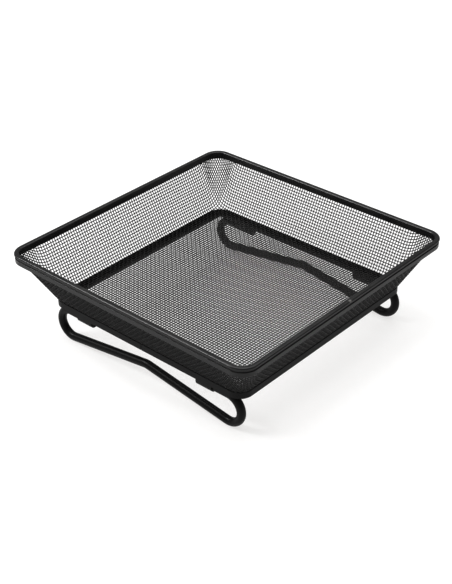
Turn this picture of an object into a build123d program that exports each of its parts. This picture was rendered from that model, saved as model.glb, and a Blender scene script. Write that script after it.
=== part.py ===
from build123d import *
import os
from math import cos, radians, sin, tan

# Square woven-wire tray: a pressed mesh basket hung in a rolled steel rim, with a
# folded channel under its edge and two wire legs that fold in beneath it.
# +Z is up, the origin is on the ground under the middle of the tray, and X runs
# along the leg hinges.  Everything is in millimetres.

# overall sizes
tray_width = 178.0
tray_height = 57.0
floor_height = 25.4
rim_corner_radius = 10.2

# rolled rim, one strip folded over the mesh, open below, with a groove round its outside
rim_sheet = 0.6
rim_height = 5.6
rim_lip_height = 3.4
rim_top_width = 3.0
rim_lip_lean = 0.4
rim_bead_height = 1.2
rim_groove_height = 1.7
rim_groove_depth = 0.8
rim_band_inset = 0.3
rim_lip_radius = 0.9
rim_bead_radius = 0.95
rim_edge_radius = 0.2

# mesh basket, two wire thicknesses deep; the leaning wall's skin is measured level
mesh_thickness = 0.8
mesh_wall_skin = 0.9
mesh_bend_radius = 2.0
mesh_rim_gap = 0.04
mesh_corner_room = 0.36

# base ring, a channel folded from strip, open below, its inner side shorter
ring_width = 145.4
ring_height = 3.9
ring_corner_radius = 8.4
ring_seam = 0.4
ring_seam_depth = 0.35
ring_edge_radius = 0.3
ring_leg_gap = 0.16

# legs, one bent wire each, both slid a little along their straps
wire_diameter = 5.0
wire_end_chamfer = 0.4
leg_inset = 0.9
leg_slide = 0.7
hinge_drop = 1.15
foot_angle = 8.0
foot_peak_radius = 12.0

# straps that hold the legs up in the channel
tab_sheet = 0.6
tab_length = 11.2
tab_to_curl = 8.7
tab_clearance = 0.06
wire_end_inset = 0.9

# levels and positions that follow from the sizes above
rim_half = tray_width / 2
rim_bottom = tray_height - rim_height
lip_bottom = tray_height - rim_lip_height
groove_top = tray_height - rim_bead_height
groove_bottom = groove_top - rim_groove_height
roof = tray_height - rim_sheet
band_half = rim_half - rim_band_inset
groove_half = rim_half - rim_groove_depth
lip_half = rim_half - rim_top_width
lip_bottom_half = lip_half - rim_lip_lean
ring_half = ring_width / 2
ring_bottom = floor_height - ring_height
wire_radius = wire_diameter / 2
tab_bore_radius = wire_radius + tab_clearance
tab_outer_radius = tab_bore_radius + tab_sheet
hinge_y = ring_half - tab_outer_radius
hinge_height = ring_bottom - hinge_drop
ring_inner_bottom = hinge_height + wire_radius + ring_leg_gap
curl_radius = (hinge_height - wire_radius) / 2
curl_x = ring_half - leg_inset - wire_radius - curl_radius
tab_centre = curl_x - tab_to_curl - tab_length / 2
wire_end_x = tab_centre - tab_length / 2 + wire_end_inset

# the basket wall leans out from the ring to the inside of the rim's lip
wall_run = lip_bottom_half + rim_sheet + mesh_rim_gap + mesh_wall_skin - ring_half
wall_rise = lip_bottom - floor_height
wall_lean = wall_run / wall_rise
mesh_top_half = groove_half - rim_sheet - mesh_corner_room
mesh_top = floor_height + (mesh_top_half - ring_half) / wall_lean


def wall_half(level):
    """Half width of the basket's outside at a height."""
    return ring_half + (level - floor_height) * wall_lean


def rounded_square(half, radius, level):
    return Pos(0, 0, level) * RectangleRounded(2 * half, 2 * half, radius)


def square_path(half, radius, level):
    """Closed path round a rounded square, starting in the middle of the +X side."""
    edges = Line((half, 0, level), (half, half - radius, level))
    heading = Vector(0, 1, 0)
    for _ in range(3):
        edges += JernArc(edges @ 1, heading, radius, 90)
        heading = heading.rotate(Axis.Z, 90)
        edges += Line(edges @ 1, edges @ 1 + heading * 2 * (half - radius))
    edges += JernArc(edges @ 1, heading, radius, 90)
    edges += Line(edges @ 1, (half, 0, level))
    return edges


def build_rim():
    """Folded strip: lip inside, flat top, bead, groove and band outside."""
    outside = Polyline(
        (lip_bottom_half, lip_bottom),
        (lip_half, tray_height),
        (rim_half, tray_height),
        (rim_half, groove_top),
        (groove_half, groove_top),
        (groove_half, groove_bottom),
        (band_half, groove_bottom),
        (band_half, rim_bottom),
        (band_half - rim_sheet, rim_bottom),
        (band_half - rim_sheet, groove_bottom - rim_sheet),
        (groove_half - rim_sheet, groove_bottom - rim_sheet),
        (groove_half - rim_sheet, roof),
        (lip_half + rim_sheet, roof),
        (lip_bottom_half + rim_sheet, lip_bottom),
        close=True,
    )
    section = make_face(outside)
    rounded = {
        rim_lip_radius: [(lip_half, tray_height)],
        rim_bead_radius: [(rim_half, tray_height)],
        rim_edge_radius: [(rim_half, groove_top), (band_half, groove_bottom), (band_half, rim_bottom)],
    }
    for radius, places in rounded.items():
        corners = [section.vertices().sort_by_distance((x, z, 0))[0] for x, z in places]
        section = fillet(corners, radius)
    path = square_path(rim_half, rim_corner_radius, rim_bottom)
    return sweep(Plane.XZ * section, path=path)


def build_basket():
    """Pressed mesh: flat floor, leaning walls, rounded corners, open at the top."""
    corner = rim_corner_radius - (rim_half - wall_half(lip_bottom))
    outer_foot = rounded_square(ring_half, ring_corner_radius, floor_height)
    outer_mouth = rounded_square(wall_half(mesh_top), corner, mesh_top)
    outer = loft([outer_foot, outer_mouth], ruled=True)
    outer = fillet(outer.edges().group_by(Axis.Z)[0], mesh_bend_radius)
    inner_level = floor_height + mesh_thickness
    inner_half = wall_half(inner_level) - mesh_wall_skin
    inner_foot = rounded_square(inner_half, ring_corner_radius - mesh_thickness, inner_level)
    inner_mouth = rounded_square(wall_half(mesh_top) - mesh_wall_skin, corner - mesh_wall_skin, mesh_top)
    inner = loft([inner_foot, inner_mouth], ruled=True)
    inner = fillet(inner.edges().group_by(Axis.Z)[0], mesh_bend_radius - mesh_thickness)
    return outer - inner


def ring_wall(inset, bottom):
    """One upright side of the channel, from a level up to the floor of the basket."""
    outside = rounded_square(ring_half - inset, ring_corner_radius - inset, bottom)
    inner_inset = inset + tab_sheet
    inside = rounded_square(ring_half - inner_inset, ring_corner_radius - inner_inset, bottom)
    return extrude(outside - inside, floor_height - bottom)


def build_ring():
    """Strip folded to a channel and bent into a rounded square, a groove where its ends meet."""
    channel_width = 2 * tab_outer_radius
    top_level = floor_height - tab_sheet
    top_outside = rounded_square(ring_half, ring_corner_radius, top_level)
    top_inner_radius = ring_corner_radius - channel_width
    top_inside = rounded_square(ring_half - channel_width, top_inner_radius, top_level)
    top = extrude(top_outside - top_inside, tab_sheet)
    outer_side = ring_wall(0, ring_bottom)
    inner_side = ring_wall(channel_width - tab_sheet, ring_inner_bottom)
    ring = top + outer_side + inner_side
    ring = fillet(ring.edges().group_by(Axis.Z)[-1], ring_edge_radius)
    seam = Pos(0, -ring_half, floor_height)
    return ring - seam * Box(ring_seam, 2 * ring_seam_depth, 3 * ring_height)


def build_leg():
    """Wire with both ends in the tabs, a round curl at each side and a raised foot."""
    angle = radians(foot_angle)
    peak_setback = foot_peak_radius * tan(angle)
    foot_x = curl_x - curl_radius * sin(angle)
    foot_run = foot_x / cos(angle) - peak_setback
    turn = 180 + foot_angle
    path = Line((-wire_end_x, hinge_height), (-curl_x, hinge_height))
    path += JernArc(path @ 1, (-1, 0), curl_radius, turn)
    path += PolarLine(path @ 1, foot_run, foot_angle)
    path += JernArc(path @ 1, (cos(angle), sin(angle)), foot_peak_radius, -2 * foot_angle)
    path += PolarLine(path @ 1, foot_run, -foot_angle)
    path += JernArc(path @ 1, (cos(angle), -sin(angle)), curl_radius, turn)
    path += Line(path @ 1, (wire_end_x, hinge_height))
    path = Pos(0, -hinge_y, 0) * (Plane.XZ * path)
    start = Plane(origin=path @ 0, z_dir=path % 0)
    leg = sweep(start * Circle(wire_radius), path=path)
    ends = leg.edges().sort_by_distance((0, -hinge_y, hinge_height))
    tips = [e for e in ends if abs(abs(e.center().X) - wire_end_x) < wire_end_chamfer]
    return chamfer(tips, wire_end_chamfer)


def build_tab():
    """Strap under the wire, its two sides standing up against the sides of the channel."""
    below = Pos(0, -tab_outer_radius) * Rectangle(2 * tab_outer_radius, 2 * tab_outer_radius)
    section = (Circle(tab_outer_radius) - Circle(tab_bore_radius)) & below
    side_offset = tab_outer_radius - tab_sheet / 2
    for offset, top in ((side_offset, ring_bottom), (-side_offset, ring_inner_bottom)):
        rise = top - hinge_height
        section += Pos(offset, rise / 2) * Rectangle(tab_sheet, rise)
    side = Plane(origin=(-tab_length / 2, -hinge_y, hinge_height), x_dir=(0, -1, 0), z_dir=(-1, 0, 0))
    return extrude(side * section, -tab_length)


tab = build_tab()
leg = build_leg()
half_turn = Rot(0, 0, 180)
nodes = {
    "rim_channel": build_rim(),
    "mesh_basket": build_basket(),
    "base_ring": build_ring(),
    "tab_front_left": Pos(-tab_centre, 0, 0) * tab,
    "tab_front_right": Pos(tab_centre, 0, 0) * tab,
    "tab_back_left": half_turn * Pos(tab_centre, 0, 0) * tab,
    "tab_back_right": half_turn * Pos(-tab_centre, 0, 0) * tab,
    "leg_front": Pos(leg_slide, 0, 0) * leg,
    "leg_back": Pos(leg_slide, 0, 0) * half_turn * leg,
}

os.makedirs("parts", exist_ok=True)
for name, shape in nodes.items():
    export_step(shape, f"parts/{name}.step")
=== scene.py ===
import math
import random

import bpy
from mathutils import Matrix, Vector, noise


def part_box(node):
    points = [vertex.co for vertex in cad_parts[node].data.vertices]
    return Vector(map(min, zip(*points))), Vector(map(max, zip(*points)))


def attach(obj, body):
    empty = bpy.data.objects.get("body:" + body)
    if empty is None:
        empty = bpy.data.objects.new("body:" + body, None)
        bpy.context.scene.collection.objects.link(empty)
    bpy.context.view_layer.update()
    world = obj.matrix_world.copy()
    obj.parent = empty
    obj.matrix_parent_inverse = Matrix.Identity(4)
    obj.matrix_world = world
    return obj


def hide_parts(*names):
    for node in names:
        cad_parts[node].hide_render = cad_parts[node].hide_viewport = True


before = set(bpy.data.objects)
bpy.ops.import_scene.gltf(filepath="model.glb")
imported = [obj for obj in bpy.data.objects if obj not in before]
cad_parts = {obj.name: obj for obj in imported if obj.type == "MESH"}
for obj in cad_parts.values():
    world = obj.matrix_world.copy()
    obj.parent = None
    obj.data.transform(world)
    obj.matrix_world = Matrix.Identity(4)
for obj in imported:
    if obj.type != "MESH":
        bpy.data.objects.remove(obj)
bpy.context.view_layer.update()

# Woven-wire tray with folding legs: the frame's own steel parts keep their shape and get
# a powder coat, and the basket is woven wire by wire over the pressed shape.

basketLow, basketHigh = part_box("mesh_basket")
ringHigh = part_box("base_ring")[1]


def clearSelection():
    if bpy.context.mode != "OBJECT":
        bpy.ops.object.mode_set(mode="OBJECT")
    bpy.ops.object.select_all(action="DESELECT")


def editMesh(piece, kind):
    # edit mode on one piece with nothing selected
    clearSelection()
    piece.select_set(True)
    bpy.context.view_layer.objects.active = piece
    bpy.ops.object.mode_set(mode="EDIT")
    bpy.ops.mesh.select_mode(type=kind)
    bpy.ops.mesh.select_all(action="DESELECT")
    bpy.ops.object.mode_set(mode="OBJECT")


def editWith(operator, **settings):
    # runs one edit mode operator on what is selected
    bpy.ops.object.mode_set(mode="EDIT")
    operator(**settings)
    bpy.ops.object.mode_set(mode="OBJECT")


wovenMesh = {
    "pitch": 0.0018,            # 14 wires to the inch
    "wireWidth": 0.00056,       # with its coat
    "roundness": 1,             # bevel steps of a wire
    "crimp": 0.00014,           # how far a wire rises and dips round the ones it crosses
    "flatShare": 0.25,          # part of the way to the next crossing that lies flat
    "halfSkin": 0.0004,         # middle of the cloth above its underside
    "halfWallSkin": 0.00045,    # the same, measured level through the leaning wall
    "bendRadius": 0.0016,       # fold between floor and wall
    "cornerRadius": 0.0083,     # upright corners
    "wander": 0.00007,          # unevenness of the weave
    "wanderScale": 70.0,
    "steadyTop": 0.004,         # unevenness fades out over this height, this far below the top
    "endBelowTop": 0.0003,      # wires stop inside the rim
    "seed": 14,
}


def clothShape(spec):
    # what the pressed shape needs: lean of the wall and where the bend starts and stops
    lean = (basketHigh.x - ringHigh.x) / (basketHigh.z - basketLow.z)
    floorLevel = basketLow.z + spec["halfSkin"]
    wallFoot = ringHigh.x - spec["halfWallSkin"] + lean * spec["halfSkin"]
    slope = math.atan2(1, lean)
    setback = spec["bendRadius"] * math.tan(slope / 2)
    return {
        "lean": lean,
        "floor": floorLevel,
        "foot": wallFoot,
        "bendStart": wallFoot - setback,
        "bendEnd": wallFoot + setback * math.cos(slope),
        "radius": spec["bendRadius"],
        "corner": spec["cornerRadius"],
    }


def clothPoint(shape, x, y):
    # a point of the pressed cloth over x, y
    a, b, corner = abs(x), abs(y), shape["corner"]
    reach = max(a, b)
    if abs(a - b) < corner:
        inset = (a + b - math.sqrt(2 * corner ** 2 - (a - b) ** 2)) / 2
        reach = inset + corner
    if reach <= shape["bendStart"]:
        level = shape["floor"]
    elif reach < shape["bendEnd"]:
        along = reach - shape["bendStart"]
        level = shape["floor"] + shape["radius"] - math.sqrt(shape["radius"] ** 2 - along ** 2)
    else:
        level = shape["floor"] + (reach - shape["foot"]) / shape["lean"]
    return Vector((x, y, level))


def clothNormal(shape, x, y):
    step = 1e-5
    here = clothPoint(shape, x, y).z
    alongX = clothPoint(shape, x + step, y).z - here
    alongY = clothPoint(shape, x, y + step).z - here
    return Vector((-alongX, -alongY, step)).normalized()


drapeSearch = {
    "axisTries": 12,
    "axisEase": 0.7,        # share of the error taken off at each try
    "tries": 14,
    "step": 1e-6,           # move that measures how the lengths change
    "closeEnough": 1e-8,
    "noSpread": 1e-9,       # the two directions are as good as parallel
    "longestMove": 0.5,     # in pitches
    "leastMove": 1e-12,
}


def nextOnAxis(shape, last, pitch):
    # the next crossing along the tray's middle line
    x = last.x + pitch
    for _ in range(drapeSearch["axisTries"]):
        gap = (clothPoint(shape, x, 0) - last).length - pitch
        x -= gap * drapeSearch["axisEase"]
    return clothPoint(shape, x, 0)


def nextCrossing(shape, behindX, behindY, before, pitch):
    # the point one pitch from both of its neighbours, on the side away from the middle
    x = behindX.x + behindY.x - before.x
    y = behindX.y + behindY.y - before.y
    step = drapeSearch["step"]
    for _ in range(drapeSearch["tries"]):
        here = clothPoint(shape, x, y)
        first = (here - behindX).length - pitch
        second = (here - behindY).length - pitch
        if abs(first) + abs(second) < drapeSearch["closeEnough"]:
            break
        overX = clothPoint(shape, x + step, y)
        overY = clothPoint(shape, x, y + step)
        firstX = ((overX - behindX).length - pitch - first) / step
        firstY = ((overY - behindX).length - pitch - first) / step
        secondX = ((overX - behindY).length - pitch - second) / step
        secondY = ((overY - behindY).length - pitch - second) / step
        spread = firstX * secondY - firstY * secondX
        if abs(spread) < drapeSearch["noSpread"]:
            break
        moveX = (first * secondY - second * firstY) / spread
        moveY = (second * firstX - first * secondX) / spread
        longest = max(abs(moveX), abs(moveY), drapeSearch["leastMove"])
        ease = min(1, drapeSearch["longestMove"] * pitch / longest)
        x -= moveX * ease
        y -= moveY * ease
    return clothPoint(shape, x, y)


def drapeQuarter(shape, pitch, top):
    # crossings of the weave over one quarter of the tray, pressed without stretching a wire
    axis = [clothPoint(shape, 0, 0)]
    while axis[-1].z < top + pitch:
        axis.append(nextOnAxis(shape, axis[-1], pitch))
    rows = [axis]
    for count in range(1, len(axis)):
        previous = rows[-1]
        start = axis[count]
        row = [Vector((start.y, start.x, start.z))]
        for place in range(1, len(axis)):
            row.append(nextCrossing(shape, row[-1], previous[place], previous[place - 1], pitch))
        rows.append(row)
    return rows    # rows[j][i] has i wires to its left and j below it


def wireLines(shape, quarter, spec, turned):
    # rows of points for the wires of one direction, each with its crimps
    last = len(quarter) - 1
    steady = spec["steadyTop"]
    random.seed(spec["seed"] + turned)
    noise.seed_set(spec["seed"])    # or else the clock sets it
    lines = []
    for j in range(-last, last + 1):
        sway = (random.random() - 0.5) * spec["wander"]
        line = []
        for i in range(-last, last + 1):
            a, b = (j, i) if turned else (i, j)
            node = quarter[abs(b)][abs(a)]
            x = math.copysign(node.x, a) if a else 0.0
            y = math.copysign(node.y, b) if b else 0.0
            fade = max(0.0, min(1.0, (basketHigh.z - steady - node.z) / steady))
            drift = noise.noise_vector(Vector((x, y, turned)) * spec["wanderScale"])
            x += drift.x * spec["wander"] * fade + (sway * fade if turned else 0)
            y += drift.y * spec["wander"] * fade + (0 if turned else sway * fade)
            side = 1 if (i + j + turned) % 2 else -1
            lift = clothNormal(shape, x, y) * side * spec["crimp"]
            line.append((clothPoint(shape, x, y), lift))
        lines.append(line)
    return lines


def flatTops(line, share):
    # two points round each crossing, so a wire lies flat there and dips between
    points = []
    for place, (node, lift) in enumerate(line):
        before = line[max(place - 1, 0)][0]
        after = line[min(place + 1, len(line) - 1)][0]
        points.append(node.lerp(before, share) + lift)
        points.append(node.lerp(after, share) + lift)
    return points


def weaveWires(name, lines, spec, top):
    # a flat grid is laid over the crossings, opened into separate lines and given thickness
    rows = [flatTops(line, spec["flatShare"]) for line in lines]
    clearSelection()
    bpy.ops.mesh.primitive_grid_add(
        x_subdivisions=len(rows[0]) - 1, y_subdivisions=len(rows) - 1, size=1, location=(0, 0, 0))
    cloth = bpy.context.object
    cloth.name = cloth.data.name = name
    flat = [value for row in rows for point in row for value in point]
    cloth.data.vertices.foreach_set("co", flat)
    width = len(rows[0])
    editMesh(cloth, "EDGE")
    for edge in cloth.data.edges:
        first, second = edge.vertices
        edge.select = abs(first - second) == width
    editWith(bpy.ops.mesh.delete, type="EDGE_FACE")
    editMesh(cloth, "VERT")
    for vertex in cloth.data.vertices:
        vertex.select = vertex.co.z > top
    editWith(bpy.ops.mesh.delete, type="VERT")
    bpy.ops.object.convert(target="CURVE")
    cloth = bpy.context.object
    cloth.data.bevel_depth = spec["wireWidth"] / 2
    cloth.data.bevel_resolution = spec["roundness"]
    cloth.data.use_fill_caps = True
    bpy.ops.object.convert(target="MESH")
    cloth = bpy.context.object
    cloth.name = cloth.data.name = name
    bpy.ops.object.shade_smooth()
    return cloth


def weaveBasket(spec):
    shape = clothShape(spec)
    top = basketHigh.z - spec["endBelowTop"]
    quarter = drapeQuarter(shape, spec["pitch"], top)
    pieces = []
    for turned, way in ((0, "level"), (1, "cross")):
        lines = wireLines(shape, quarter, spec, turned)
        half = len(lines) // 2
        pieces.append(weaveWires(f"woven_{way}_front", lines[:half], spec, top))
        pieces.append(weaveWires(f"woven_{way}_back", lines[half:], spec, top))
    for piece in pieces:
        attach(piece, "tray")
        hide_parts("mesh_basket")
    return pieces


wovenPieces = weaveBasket(wovenMesh)
print("woven basket:", sum(len(piece.data.polygons) for piece in wovenPieces), "faces")


def addNode(material, kind, **settings):
    # a setting is a socket's value, or else one of the node's own properties
    node = material.node_tree.nodes.new(kind)
    for name, value in settings.items():
        if name in node.inputs:
            node.inputs[name].default_value = value
        else:
            setattr(node, name, value)
    return node


def joinNodes(material, *pairs):
    for source, target in pairs:
        material.node_tree.links.new(source, target)


def scrapedJoint(material, finish, place, colour):
    # where the strip's ends meet the coat is chipped and a little metal shows
    reach = addNode(material, "ShaderNodeVectorMath", operation="DISTANCE")
    reach.inputs[1].default_value = finish["joint"]
    spot = addNode(material, "ShaderNodeMapRange")
    spot.inputs["From Min"].default_value = finish["jointSize"]
    spot.inputs["From Max"].default_value = finish["jointCore"]
    bare = addNode(material, "ShaderNodeMix", data_type="RGBA")
    bare.inputs["B"].default_value = (*finish["bare"], 1)
    joinNodes(
        material,
        (place.outputs["Object"], reach.inputs[0]),
        (reach.outputs["Value"], spot.inputs["Value"]),
        (spot.outputs["Result"], bare.inputs["Factor"]),
        (colour, bare.inputs["A"]),
    )
    return bare.outputs["Result"]


powder = {
    "cloudDetail": 4.0,
    "peelDetail": 2.0,
    "toneFrom": 0.35,         # cloud values that the two tones lie between
    "toneTo": 0.7,
    "glossFrom": 0.3,         # and the two roughnesses
    "glossTo": 0.7,
    "edgeSamples": 6,
    "rubStart": 0.97,         # an edge starts to look rubbed as its rounded normal turns away
    "rubFull": 0.8,
    "speckleReach": 0.5,
    "speckleHeight": 0.4,
}


def powderCoat(name, finish):
    # baked powder on steel: fine orange peel, uneven gloss, edges rubbed a little lighter
    material = bpy.data.materials.new(name)
    material.use_nodes = True
    shader = material.node_tree.nodes["Principled BSDF"]
    shader.inputs["Specular IOR Level"].default_value = finish["shine"]
    place = addNode(material, "ShaderNodeTexCoord")
    cloud = addNode(material, "ShaderNodeTexNoise", Scale=finish["cloudScale"], Detail=powder["cloudDetail"])
    peel = addNode(material, "ShaderNodeTexNoise", Scale=finish["peelScale"], Detail=powder["peelDetail"])
    speck = addNode(material, "ShaderNodeTexVoronoi", Scale=finish["speckScale"])
    tone = addNode(material, "ShaderNodeValToRGB")
    tone.color_ramp.elements[0].position = powder["toneFrom"]
    tone.color_ramp.elements[0].color = (*finish["dark"], 1)
    tone.color_ramp.elements[1].position = powder["toneTo"]
    tone.color_ramp.elements[1].color = (*finish["light"], 1)
    gloss = addNode(material, "ShaderNodeMapRange")
    gloss.inputs["From Min"].default_value = powder["glossFrom"]
    gloss.inputs["From Max"].default_value = powder["glossTo"]
    gloss.inputs["To Min"].default_value = finish["smooth"]
    gloss.inputs["To Max"].default_value = finish["rough"]
    rounded = addNode(material, "ShaderNodeBevel", Radius=finish["edge"], samples=powder["edgeSamples"])
    shape = addNode(material, "ShaderNodeNewGeometry")
    facing = addNode(material, "ShaderNodeVectorMath", operation="DOT_PRODUCT")
    rub = addNode(material, "ShaderNodeMapRange")
    rub.inputs["From Min"].default_value = powder["rubStart"]
    rub.inputs["From Max"].default_value = powder["rubFull"]
    rubbed = addNode(material, "ShaderNodeMath", operation="MULTIPLY")
    worn = addNode(material, "ShaderNodeMix", data_type="RGBA")
    worn.inputs["B"].default_value = (*finish["worn"], 1)
    speckle = addNode(material, "ShaderNodeMapRange")
    speckle.inputs["From Max"].default_value = powder["speckleReach"]
    speckle.inputs["To Min"].default_value = 0.0
    speckle.inputs["To Max"].default_value = powder["speckleHeight"]
    height = addNode(material, "ShaderNodeMath", operation="ADD")
    bump = addNode(material, "ShaderNodeBump", Strength=finish["bump"], Distance=finish["peelDepth"])
    joinNodes(
        material,
        (place.outputs["Object"], cloud.inputs["Vector"]),
        (place.outputs["Object"], peel.inputs["Vector"]),
        (place.outputs["Object"], speck.inputs["Vector"]),
        (cloud.outputs["Fac"], tone.inputs["Fac"]),
        (cloud.outputs["Fac"], gloss.inputs["Value"]),
        (gloss.outputs["Result"], shader.inputs["Roughness"]),
        (rounded.outputs["Normal"], facing.inputs[0]),
        (shape.outputs["Normal"], facing.inputs[1]),
        (facing.outputs["Value"], rub.inputs["Value"]),
        (rub.outputs["Result"], rubbed.inputs[0]),
        (cloud.outputs["Fac"], rubbed.inputs[1]),
        (rubbed.outputs["Value"], worn.inputs["Factor"]),
        (tone.outputs["Color"], worn.inputs["A"]),
        (speck.outputs["Distance"], speckle.inputs["Value"]),
        (peel.outputs["Fac"], height.inputs[0]),
        (speckle.outputs["Result"], height.inputs[1]),
        (height.outputs["Value"], bump.inputs["Height"]),
        (bump.outputs["Normal"], shader.inputs["Normal"]),
    )
    colour = worn.outputs["Result"]
    if "joint" in finish:
        colour = scrapedJoint(material, finish, place, colour)
    joinNodes(material, (colour, shader.inputs["Base Color"]))
    return material


coats = {
    "rim_coat": {
        "cloudScale": 55, "peelScale": 1500, "speckScale": 2600, "dark": (0.009, 0.009, 0.0095),
        "light": (0.017, 0.0165, 0.016), "worn": (0.09, 0.086, 0.082), "smooth": 0.27, "rough": 0.36,
        "shine": 0.45, "edge": 0.0003, "bump": 0.4, "peelDepth": 0.00003,
        "joint": (0.0884, -0.003, 0.0567), "jointSize": 0.0013, "jointCore": 0.00039,
        "bare": (0.16, 0.155, 0.15),
    },
    "mesh_coat": {
        "cloudScale": 160, "peelScale": 2500, "speckScale": 4200, "dark": (0.006, 0.006, 0.006),
        "light": (0.014, 0.0132, 0.0128), "worn": (0.05, 0.047, 0.045), "smooth": 0.3, "rough": 0.45,
        "shine": 0.3, "edge": 0.00005, "bump": 0.35, "peelDepth": 0.00002,
    },
    # ring, tabs and legs wear the same black powder coat as the rim; their darker tones and weaker shine are
    # painted shade, for the low parts that sit under the wall and face the floor
    "ring_coat": {
        "cloudScale": 70, "peelScale": 1500, "speckScale": 2600, "dark": (0.004, 0.004, 0.0042),
        "light": (0.009, 0.0088, 0.0086), "worn": (0.05, 0.048, 0.046), "smooth": 0.38, "rough": 0.5,
        "shine": 0.2, "edge": 0.00025, "bump": 0.5, "peelDepth": 0.00004,
    },
    "tab_coat": {
        "cloudScale": 120, "peelScale": 1600, "speckScale": 2600, "dark": (0.004, 0.004, 0.0042),
        "light": (0.009, 0.0088, 0.0086), "worn": (0.06, 0.057, 0.054), "smooth": 0.36, "rough": 0.5,
        "shine": 0.2, "edge": 0.00025, "bump": 0.5, "peelDepth": 0.00004,
    },
    "leg_coat": {
        "cloudScale": 60, "peelScale": 1300, "speckScale": 2400, "dark": (0.003, 0.003, 0.0032),
        "light": (0.007, 0.0068, 0.0066), "worn": (0.04, 0.038, 0.036), "smooth": 0.36, "rough": 0.46,
        "shine": 0.2, "edge": 0.0002, "bump": 0.4, "peelDepth": 0.00003,
    },
}

finishes = {slot: powderCoat(slot, finish) for slot, finish in coats.items()}
coatOf = {
    "rim_channel": "rim_coat",
    "base_ring": "ring_coat",
    "tab_front_left": "tab_coat",
    "tab_front_right": "tab_coat",
    "tab_back_left": "tab_coat",
    "tab_back_right": "tab_coat",
    "leg_front": "leg_coat",
    "leg_back": "leg_coat",
}


def giveMaterial(piece, material):
    piece.data.materials.clear()
    piece.data.materials.append(material)


for node, slot in coatOf.items():
    giveMaterial(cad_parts[node], finishes[slot])
for piece in wovenPieces:
    giveMaterial(piece, finishes["mesh_coat"])
print("finishes:", ", ".join(sorted(finishes)))


studio = {
    "floorSize": 8.0,
    "floorTone": (0.27, 0.273, 0.276),
    "toneSpread": 1.01,        # the lighter of the paper's two tones
    "fibreScale": 9.0,
    "fibreDetail": 3.0,
    "floorRough": 0.9,
    "floorShine": 0.1,
    "floorGlow": 0.73,         # the table is lit from within, so shadows on it stay faint
    "glowTone": (1.0, 0.99, 0.98),
    "skyTone": (1.0, 1.0, 1.0),
    "skyStrength": 0.35,       # what lights the tray
    "backdropStrength": 1.0,   # what the camera sees past the floor
    "lamps": (
        # name, place, size, watts
        ("top_softbox", (-0.05, 0.12, 1.1), 1.5, 16.0),
        ("left_softbox", (-0.62, -0.48, 0.76), 0.36, 8.0),
    ),
}


def buildFloor(spec):
    clearSelection()
    bpy.ops.mesh.primitive_plane_add(size=spec["floorSize"], location=(0, 0, 0))
    floor = bpy.context.object
    floor.name = "studio_floor"
    material = bpy.data.materials.new("studio_paper")
    material.use_nodes = True
    shader = material.node_tree.nodes["Principled BSDF"]
    shader.inputs["Roughness"].default_value = spec["floorRough"]
    shader.inputs["Specular IOR Level"].default_value = spec["floorShine"]
    shader.inputs["Emission Color"].default_value = (*spec["glowTone"], 1)
    shader.inputs["Emission Strength"].default_value = spec["floorGlow"]
    place = addNode(material, "ShaderNodeTexCoord")
    fibre = addNode(material, "ShaderNodeTexNoise", Scale=spec["fibreScale"], Detail=spec["fibreDetail"])
    tone = addNode(material, "ShaderNodeMix", data_type="RGBA")
    tone.inputs["A"].default_value = (*spec["floorTone"], 1)
    lighter = [value * spec["toneSpread"] for value in spec["floorTone"]]
    tone.inputs["B"].default_value = (*lighter, 1)
    joinNodes(
        material,
        (place.outputs["Object"], fibre.inputs["Vector"]),
        (fibre.outputs["Fac"], tone.inputs["Factor"]),
        (tone.outputs["Result"], shader.inputs["Base Color"]),
    )
    giveMaterial(floor, material)


def buildLights(spec):
    world = bpy.data.worlds.new("studio_air")
    bpy.context.scene.world = world
    world.use_nodes = True
    air = world.node_tree.nodes["Background"]
    air.inputs["Color"].default_value = (*spec["skyTone"], 1)
    air.inputs["Strength"].default_value = spec["skyStrength"]
    backdrop = addNode(
        world, "ShaderNodeBackground", Color=(*spec["skyTone"], 1), Strength=spec["backdropStrength"])
    looking = addNode(world, "ShaderNodeLightPath")
    either = addNode(world, "ShaderNodeMixShader")
    out = world.node_tree.nodes["World Output"]
    joinNodes(
        world,
        (looking.outputs["Is Camera Ray"], either.inputs["Fac"]),
        (air.outputs["Background"], either.inputs[1]),
        (backdrop.outputs["Background"], either.inputs[2]),
        (either.outputs["Shader"], out.inputs["Surface"]),
    )
    for name, place, size, watts in spec["lamps"]:
        lamp = bpy.data.lights.new(name, "AREA")
        lamp.shape = "DISK"
        lamp.size = size
        lamp.energy = watts
        holder = bpy.data.objects.new(name, lamp)
        bpy.context.scene.collection.objects.link(holder)
        holder.location = place
        holder.rotation_euler = (-Vector(place)).to_track_quat("-Z", "Y").to_euler()


cameraView = {
    "azimuth": 41.87,
    "elevation": 32.42,
    "roll": -0.61,
    "distance": 0.7178,
    "aim": (0, 0, 0.030),
    "across": -0.00163,
    "up": -0.00482,
    "lens": 76.05,
    "sensor": 36,
    "nearest": 0.01,
    "farthest": 50,
    "transform": "Standard",
    "gamma": 0.8,    # a little more contrast in the darks
}


def placeCamera(spec):
    turn = Matrix.Rotation(math.radians(spec["azimuth"]), 4, "Z")
    turn = turn @ Matrix.Rotation(math.radians(90 - spec["elevation"]), 4, "X")
    turn = turn @ Matrix.Rotation(math.radians(spec["roll"]), 4, "Z")
    offset = turn @ Vector((spec["across"], spec["up"], spec["distance"]))
    lens = bpy.data.cameras.new("studio_camera")
    lens.lens = spec["lens"]
    lens.sensor_width = spec["sensor"]
    lens.clip_start = spec["nearest"]
    lens.clip_end = spec["farthest"]
    holder = bpy.data.objects.new("studio_camera", lens)
    bpy.context.scene.collection.objects.link(holder)
    holder.matrix_world = Matrix.Translation(Vector(spec["aim"]) + offset) @ turn
    bpy.context.scene.camera = holder


def developPicture(spec):
    picture = bpy.context.scene.view_settings
    picture.view_transform = spec["transform"]
    picture.gamma = spec["gamma"]


buildFloor(studio)
buildLights(studio)
placeCamera(cameraView)
developPicture(cameraView)
print("studio: floor,", len(studio["lamps"]), "lamps and the camera")
